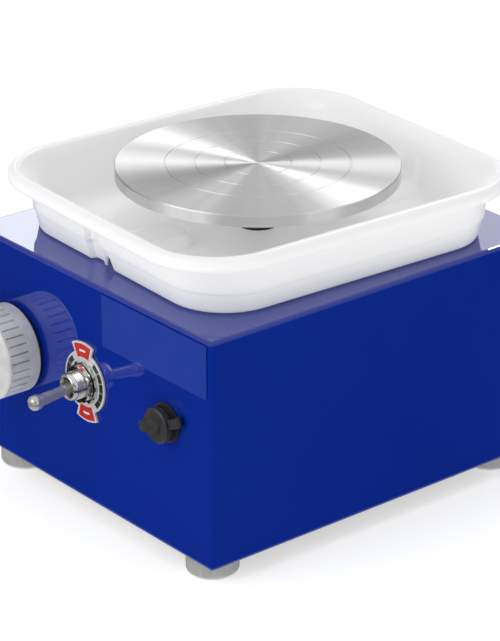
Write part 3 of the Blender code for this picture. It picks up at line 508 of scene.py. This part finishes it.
def sector(low, high, middle_angle, half, steps=10):
    """Outline of a ring's sector, from radius low to radius high."""
    angles = [middle_angle + half * (2 * k / steps - 1) for k in range(steps + 1)]
    return [round_point(high, a) for a in angles] + [round_point(low, a) for a in reversed(angles)]


# ---------------------------------------------------------------- camera, light and floor


def look():
    data = bpy.data.cameras.new("camera")
    data.sensor_width = CAMERA_SENSOR
    data.lens = CAMERA_LENS
    data.clip_start, data.clip_end = 0.05, 50
    camera = bpy.data.objects.new("camera", data)
    bpy.context.scene.collection.objects.link(camera)
    turn = Matrix((CAMERA_RIGHT, CAMERA_UP, CAMERA_BACK)).transposed().to_4x4()
    camera.matrix_world = Matrix.Translation(CAMERA_AT) @ turn
    bpy.context.scene.camera = camera


def make_world():
    world = bpy.data.worlds.new("studio")
    bpy.context.scene.world = world
    world.use_nodes = True
    tree = world.node_tree
    place = tree.nodes.new("ShaderNodeTexCoord")
    split = tree.nodes.new("ShaderNodeSeparateXYZ")
    spread = tree.nodes.new("ShaderNodeMapRange")
    ramp = tree.nodes.new("ShaderNodeValToRGB")
    tree.links.new(place.outputs["Generated"], split.inputs[0])
    tree.links.new(split.outputs[2], spread.inputs["Value"])
    spread.inputs["From Min"].default_value = -1
    tree.links.new(spread.outputs[0], ramp.inputs["Fac"])
    bands = ramp.color_ramp.elements
    bands.remove(bands[1])
    for k, (height, level) in enumerate(WORLD_LEVELS):
        band = bands.new((height + 1) / 2) if k else bands[0]
        band.position = (height + 1) / 2
        band.color = (level, level, level, 1)
    back = tree.nodes["Background"]
    tree.links.new(ramp.outputs["Color"], back.inputs["Color"])
    back.inputs["Strength"].default_value = 1.0


def make_light(name, at, size, power):
    data = bpy.data.lights.new(name, "AREA")
    data.shape = "RECTANGLE"
    data.size, data.size_y = size
    data.energy = power
    lamp = bpy.data.objects.new(name, data)
    bpy.context.scene.collection.objects.link(lamp)
    lamp.location = at
    lamp.rotation_mode = "QUATERNION"
    lamp.rotation_quaternion = (Vector(at) - Vector(LIGHTS_AIM)).to_track_quat("Z", "Y")


def make_floor():
    """Pale floor that mirrors don't see, so that the paint keeps its depth of colour."""
    floor = bmesh.new()
    bmesh.ops.create_grid(floor, x_segments=1, y_segments=1, size=FLOOR_HALF)
    mesh = bpy.data.meshes.new("floor")
    floor.to_mesh(mesh)
    floor.free()
    ground = bpy.data.objects.new("floor", mesh)
    bpy.context.scene.collection.objects.link(ground)
    mesh.materials.append(floor_paper())
    ground.visible_glossy = False


def studio():
    make_world()
    for light in LIGHTS:
        make_light(*light)
    bpy.context.scene.view_settings.view_transform = "Standard"
    make_floor()


# ---------------------------------------------------------------- controls


def make_knob():
    """Turned knob: axial grooves round its side, a plain band behind them and a stepped front ring."""
    radius, rear, front = KNOB_RADIUS, KNOB_REAR, KNOB_FRONT
    inner = [
        (0, 14 * MM), (3.3 * MM, 14 * MM), (3.3 * MM, 6.4 * MM), (8.6 * MM, 6.4 * MM), (8.6 * MM, rear)
    ]
    side = [
        (radius - 0.5 * MM, rear), (radius, rear + 0.5 * MM),
        (radius, GROOVE_LOW - 0.05 * MM), (radius, GROOVE_LOW + 0.25 * MM),
        (radius, GROOVE_HIGH - 0.25 * MM), (radius, GROOVE_HIGH + 0.05 * MM),
        (radius, 16.5 * MM), (radius - 0.4 * MM, 16.6 * MM), (radius - 0.4 * MM, 16.9 * MM),
        (radius - 0.05 * MM, 17.0 * MM), (radius - 0.15 * MM, 17.4 * MM), (radius - 0.5 * MM, 17.9 * MM),
        (radius - 1.2 * MM, front), (radius - 2.6 * MM, front), (radius - 3.0 * MM, front - 0.7 * MM),
    ]
    dish = front - 0.7 * MM
    face = [(12 * MM, dish), (6 * MM, dish), (0, dish)]
    grooved = (len(inner) + 3, len(inner) + 4)

    def wave(k, angle):
        if k not in grooved:
            return 0
        phase = (angle * KNOB_GROOVES / (2 * PI)) % 1
        return -GROOVE_DEPTH * (1 - smooth_step(0.035, 0.085, abs(phase - 0.5)))

    shape = lathe(inner + side + face, forward(KNOB_AT), KNOB_GROOVES * 16, wave)
    metal = knob_aluminium()
    piece("speed_knob_turned", shape, "knob", metal, ("speed_knob",), sharp=28)


def plate_outline():
    """Round disc with a fan-shaped tab below and one above."""
    outline = []
    for start in (-PI / 2, PI / 2):
        for k in range(11):
            outline.append(round_point(TAB_REACH, start + TAB_HALF * (2 * k / 10 - 1)))
        for k in range(31):
            outline.append(round_point(PLATE_RADIUS, start + TAB_HALF + (PI - 2 * TAB_HALF) * k / 30))
    return outline


def make_switch_plate():
    """Pressed plate, red fields with a plain bar on its tabs, and a ring of dark marks on its disc."""
    place = turned_panel(SWITCH_AT, PLATE_TURN)
    outline = plate_outline()
    inner = [round_point(PLATE_BORE, math.atan2(v, u)) for u, v in outline]
    drawn_in = [(u * 0.985, v * 0.985) for u, v in outline]
    levels = ((inner, 0.3), (outline, 0.3), (outline, 1.0), (drawn_in, 1.15), (inner, 1.15))
    shape = bmesh.new()
    rings = [[shape.verts.new(place(u, v, height * MM)) for u, v in ring] for ring, height in levels]
    join_loop(shape, rings)
    silver = grained("plate_silver", (0.56, 0.57, 0.56), (0.68, 0.69, 0.68), (0.35, 0.45), 700, 0.03, 0.25)
    piece("switch_plate_pressed", shape, "chassis", silver, ("switch_plate",), sharp=30)

    red = grained("field_red", (0.52, 0.008, 0.012), (0.60, 0.014, 0.018), (0.3, 0.4), 500, 0.03)
    ink = grained("mark_white", (0.74, 0.72, 0.70), (0.82, 0.80, 0.78), (0.35, 0.45), 700, 0.02)
    dark = grained("ring_black", (0.012, 0.012, 0.013), (0.022, 0.022, 0.022), (0.35, 0.45), 700, 0.05)
    for name, start in (("upper", PI / 2), ("lower", -PI / 2)):
        field = prism(sector(10.9 * MM, 16.7 * MM, start, TAB_HALF * 0.82), 1.1 * MM, 1.2 * MM, place)
        piece(f"switch_field_{name}", field, "chassis", red, sharp=30)
        mark = prism(sector(13.3 * MM, 14.2 * MM, start, TAB_HALF * 0.34), 1.15 * MM, 1.24 * MM, place)
        piece(f"switch_mark_{name}", mark, "chassis", ink, sharp=30)
    for name, start in (("right", 0), ("left", PI)):
        for k in range(5):
            middle_angle = start + (k - 2) * math.radians(21.5)
            outline = sector(10.1 * MM, 12.4 * MM, middle_angle, math.radians(9.9), 5)
            band = prism(outline, 1.1 * MM, 1.2 * MM, place)
            piece(f"switch_ring_{name}_{k + 1}", band, "chassis", dark, sharp=30)


def make_bushing():
    """Threaded bushing with a flange behind the panel and an open mouth for the lever."""
    profile = [
        (4.0 * MM, 2.4 * MM), (2.7 * MM, 1.0 * MM), (2.7 * MM, -2.7 * MM), (8.2 * MM, -2.7 * MM),
        (8.2 * MM, -1.8 * MM), (THREAD_CREST, -1.8 * MM), (THREAD_CREST, 0.4 * MM),
    ]
    for k in range(int((THREAD_END - THREAD_START) / THREAD_PITCH)):
        height = THREAD_START + k * THREAD_PITCH
        profile += [
            (THREAD_ROOT, height + 0.1 * MM),
            (THREAD_CREST, height + 0.28 * MM),
            (THREAD_CREST, height + 0.38 * MM),
        ]
    profile += [
        (THREAD_ROOT, THREAD_END + 0.1 * MM), (THREAD_ROOT - 0.2 * MM, 10.0 * MM),
        (5.0 * MM, 10.3 * MM), (4.5 * MM, 10.2 * MM), (4.1 * MM, 9.4 * MM),
    ]
    shape = lathe(profile, forward(SWITCH_AT), 64)
    steel = FINISH["plated_steel"]
    piece("switch_bushing_threaded", shape, "chassis", steel, ("switch_bushing",), sharp=40)


def make_washer():
    """Lock washer with teeth round its edge."""
    profile = [(8.4 * MM, 1.5 * MM), (8.4 * MM, 2.2 * MM), (6.4 * MM, 2.2 * MM), (6.4 * MM, 1.5 * MM)]

    def teeth(k, angle):
        if k > 1:
            return 0
        phase = (angle * WASHER_TEETH / (2 * PI)) % 1
        return 0.7 * MM * smooth_step(0.2, 0.32, abs(phase - 0.5))

    shape = lathe(profile, forward(SWITCH_AT), 144, teeth)
    steel = FINISH["plated_steel"]
    piece("switch_washer_toothed", shape, "chassis", steel, ("switch_washer",), sharp=30)


def make_nut():
    """Hexagon nut whose corners are turned off at both ends."""
    out = forward(SWITCH_AT)
    shape = bmesh.new()
    rings = [[] for _ in range(6)]
    for i in range(120):
        angle = 2 * PI * i / 120
        hexed = NUT_HALF / math.cos((angle + PI / 6) % (PI / 3) - PI / 6)
        chamfer = 0.15 * MM + max(hexed - NUT_ROUND, 0) * 0.5
        levels = (
            (NUT_BORE, NUT_LOW), (min(hexed, NUT_ROUND), NUT_LOW), (hexed, NUT_LOW + chamfer),
            (hexed, NUT_HIGH - chamfer), (min(hexed, NUT_ROUND), NUT_HIGH), (NUT_BORE, NUT_HIGH),
        )
        for ring, (radius, height) in zip(rings, levels):
            ring.append(shape.verts.new(out(radius, angle, height)))
    join_loop(shape, rings)
    steel = FINISH["plated_steel"]
    piece("switch_nut_hexagon", shape, "chassis", steel, ("switch_nut",), sharp=25)


def make_lever():
    """Tapered lever with a ball in the bushing and a round tip."""
    pivot = SWITCH_AT + Vector((0, -LEVER_PIVOT, 0))
    side = Vector((1, 0, 0))
    along = Vector((0, -math.cos(LEVER_TILT), -math.sin(LEVER_TILT)))
    up = side.cross(along)
    reach, tip = LEVER_REACH, LEVER_TIP
    bulge, cap = reach - 0.05 * MM, 2.6 * MM
    profile = [
        (0, -3.1 * MM), (1.6 * MM, -2.7 * MM), (2.7 * MM, -1.6 * MM), (3.1 * MM, 0),
        (2.7 * MM, 1.5 * MM), (2.1 * MM, 2.4 * MM), (2.15 * MM, 6 * MM), (2.45 * MM, reach - 7.5 * MM),
        (2.55 * MM, reach - 5.6 * MM), (2.8 * MM, reach - 5.2 * MM), (3.1 * MM, reach - 4.2 * MM),
        (tip, reach - 3.0 * MM),
    ]
    for k in range(1, 8):
        angle = PI / 2 * k / 8
        profile.append((tip * math.cos(angle) ** 0.75, bulge - cap + cap * math.sin(angle)))
    profile.append((0, bulge))

    def stick(radius, angle, height):
        return pivot + along * height + side * radius * math.cos(angle) + up * radius * math.sin(angle)

    shape = lathe(profile, stick, 48)
    piece("switch_lever_chromed", shape, "lever", FINISH["chrome"], ("switch_lever",), sharp=50)


# ---------------------------------------------------------------- splash basin


def perimeter():
    """Samples round a rounded rectangle: (side, -1 to 1 along it) or (a corner's first angle, share)."""
    spots = []
    for start, count, side in ((-90, 96, "front"), (0, 34, "right"), (90, 96, "rear"), (180, 34, "left")):
        spots += [(side, -1 + 2 * k / count) for k in range(count)]
        spots += [(start, k / 14) for k in range(14)]
    return spots


SPOTS = perimeter()
CORNER_AT = {-90: (1, -1), 0: (1, 1), 90: (-1, 1), 180: (-1, -1)}


def basin_ring(half_x, half_y, corner):
    """(x, y) of each sample of the perimeter."""
    flat_x, flat_y = half_x - corner, half_y - corner
    points = []
    for kind, t in SPOTS:
        if kind == "front":
            points.append((t * flat_x, -half_y))
        elif kind == "right":
            points.append((half_x, t * flat_y))
        elif kind == "rear":
            points.append((-t * flat_x, half_y))
        elif kind == "left":
            points.append((-half_x, -t * flat_y))
        else:
            side_x, side_y = CORNER_AT[kind]
            x, y = round_point(corner, math.radians(kind + 90 * t))
            points.append((side_x * flat_x + x, side_y * flat_y + y))
    return points


def rib_rise(x, y, inset):
    """Height of the hollow rib over the floor. The rear one is the front one turned half round."""
    if y > 0:
        x, y = -x, -y
    across = abs(x - RIB_CENTRE) - (RIB_HALF - RIB_CORNER)
    along = (y + RIB_END) + RIB_CORNER
    gap = math.hypot(max(across, 0), max(along, 0)) + min(max(across, along), 0) - RIB_CORNER + inset
    return RIB_HEIGHT * (1 - smooth_step(-1.6 * MM, 1.4 * MM, gap))


def mouth_rise(x, y):
    """Height of the small arch at the wall's foot, right of the flute."""
    if abs(y) < 60 * MM:
        return 0
    if y > 0:
        x = -x
    left = smooth_step(-3.4 * MM, -2.8 * MM, x)
    right = 1 - smooth_step(-0.4 * MM, 4 * MM, x)
    return MOUTH_HEIGHT * left * right


def flute_depth(x, y, z, wide):
    """How far the wall stands in at the flute over the rib's mouth."""
    if y > 0:
        x = -x
    left = smooth_step(-13.7 * MM - wide, -12.9 * MM - wide * 0.6, x)
    right = 1 - smooth_step(-8.2 * MM + wide * 0.4, -1.9 * MM + wide, x)
    lid = 1 - smooth_step(RIM_Z - 6.4 * MM, RIM_Z - 4.2 * MM, z)
    return FLUTE_DEPTH * left * right * lid


def basin_point(x, y, z, inside, on_wall):
    """A sample after the rib lifts the floor and the flute sets the wall in."""
    above = z - BASIN_LOW
    if on_wall and not inside:
        rise = mouth_rise(x, y) * (1 - smooth_step(0, 9 * MM, above))
    else:
        rise = rib_rise(x, y, 0 if inside else WALL * 0.8)
        rise *= 1 - smooth_step(3 * MM, 17 * MM, above)
    if on_wall and abs(y) > 70 * MM and abs(x) < 40 * MM:
        y -= math.copysign(flute_depth(x, y, z, 1.8 * MM if inside else 0), y)
    return x, y, z + rise


def basin_levels():
    """(half x, half y, corner, height, inside, on the wall) from the foot, over the rim, to the floor."""
    levels = []

    def foot(grow, height, inside):
        levels.append((BASIN_X + grow, BASIN_Y + grow, FOOT_CORNER + grow, height, inside, True))

    edge_top = BASIN_LOW + FOOT_EDGE
    sill_top = BASIN_STEP + 0.6 * MM
    neck = RIM_Z - BEAD + 0.5 * MM
    on_sill = WALL_LEAN + STEP_SILL
    for k in range(5):
        angle = PI / 2 * k / 4
        foot(-FOOT_EDGE * (1 - math.sin(angle)), BASIN_LOW + FOOT_EDGE * (1 - math.cos(angle)), False)
    for k in range(1, 5):
        foot(WALL_LEAN * k / 4, edge_top + (BASIN_STEP - edge_top) * k / 4, False)
    foot(WALL_LEAN + STEP_SILL * 0.6, BASIN_STEP + 0.15 * MM, False)
    foot(on_sill, sill_top, False)
    for k in range(1, 7):
        foot(on_sill + UPPER_DRAFT * k / 6, sill_top + (neck - sill_top) * k / 6, False)
    for k in range(19):
        out, up = round_point(BEAD, math.radians(-86 + 226 * k / 18))
        levels.append((RIM_X + out, RIM_Y + out, RIM_CORNER + out, RIM_Z + up, True, False))
    upper, upper_z = on_sill + UPPER_DRAFT - WALL, RIM_Z - 1.6 * MM
    base, base_z = FLOOR_GROW - WALL, BASIN_FLOOR + FLOOR_FILLET
    for k in range(7):
        foot(upper + (base - upper) * k / 7, upper_z + (base_z - upper_z) * k / 7, True)
    for k in range(8):
        angle = PI / 2 * k / 7
        height = BASIN_FLOOR + FLOOR_FILLET * (1 - math.sin(angle))
        foot(base - FLOOR_FILLET * (1 - math.cos(angle)), height, True)
    return levels


def make_basin():
    shape = bmesh.new()
    turn = Matrix.Rotation(BASIN_TURN, 3, "Z")
    rings = []

    def keep(points, height, inside, on_wall):
        ring = []
        for x, y in points:
            spot = Vector(basin_point(x, y, height, inside, on_wall))
            ring.append(shape.verts.new(turn @ spot + SPINDLE))
        rings.append(ring)

    def keep_floor(outer, height, inside, outward):
        """Rings between the outer ring and the round hole in the middle."""
        shares = [k / FLOOR_RINGS for k in range(1, FLOOR_RINGS + 1)]
        for share in reversed(shares) if outward else shares:
            points = []
            for x, y in outer:
                hole_x, hole_y = round_point(BASIN_HOLE, math.atan2(y, x))
                points.append((x + (hole_x - x) * share, y + (hole_y - y) * share))
            keep(points, height, inside, False)

    levels = basin_levels()
    keep_floor(basin_ring(*levels[0][:3]), BASIN_LOW, False, True)
    for half_x, half_y, corner, height, inside, on_wall in levels:
        keep(basin_ring(half_x, half_y, corner), height, inside, on_wall)
    keep_floor(basin_ring(*levels[-1][:3]), BASIN_FLOOR, True, False)
    join_loop(shape, rings)
    white = FINISH["white_plastic"]
    piece("basin_moulding", shape, "basin_tray", white, ("basin",), sharp=50)


# ---------------------------------------------------------------- wheel head


def make_wheel_head():
    """Turned disc with three shallow rings, a chamfered edge and a bored hub."""
    radius = (HEAD_HIGH.x - HEAD_LOW.x) / 2
    top, low = HEAD_HIGH.z, HEAD_LOW.z
    below = top - HEAD_THICK
    outline = [(0, top)]
    for groove in HEAD_GROOVES:
        outline += [
            (groove - 0.45 * MM, top),
            (groove - 0.2 * MM, top - 0.22 * MM),
            (groove + 0.2 * MM, top - 0.22 * MM),
            (groove + 0.45 * MM, top),
        ]
    lip = [
        (50 * MM, top), (radius - HEAD_CHAMFER, top), (radius, top - HEAD_CHAMFER), (radius, below),
        (40 * MM, below),
    ]
    under = [(40 * MM, below), (HUB_RADIUS, below), (HUB_RADIUS, low), (HUB_BORE, low)]
    bore_end = low + 9.6 * MM
    profile = outline + lip + rounded(under, 0.8 * MM, 3)[1:] + [(HUB_BORE, bore_end), (0, bore_end)]
    shape = lathe(profile, upright(SPINDLE), 240)
    metal = turned_aluminium()
    piece("wheel_head_turned", shape, "wheel", metal, ("wheel_head",), sharp=20)


dress_cad_nodes()
look()
studio()
make_basin()
make_wheel_head()
make_knob()
make_switch_plate()
make_bushing()
make_washer()
make_nut()
make_lever()
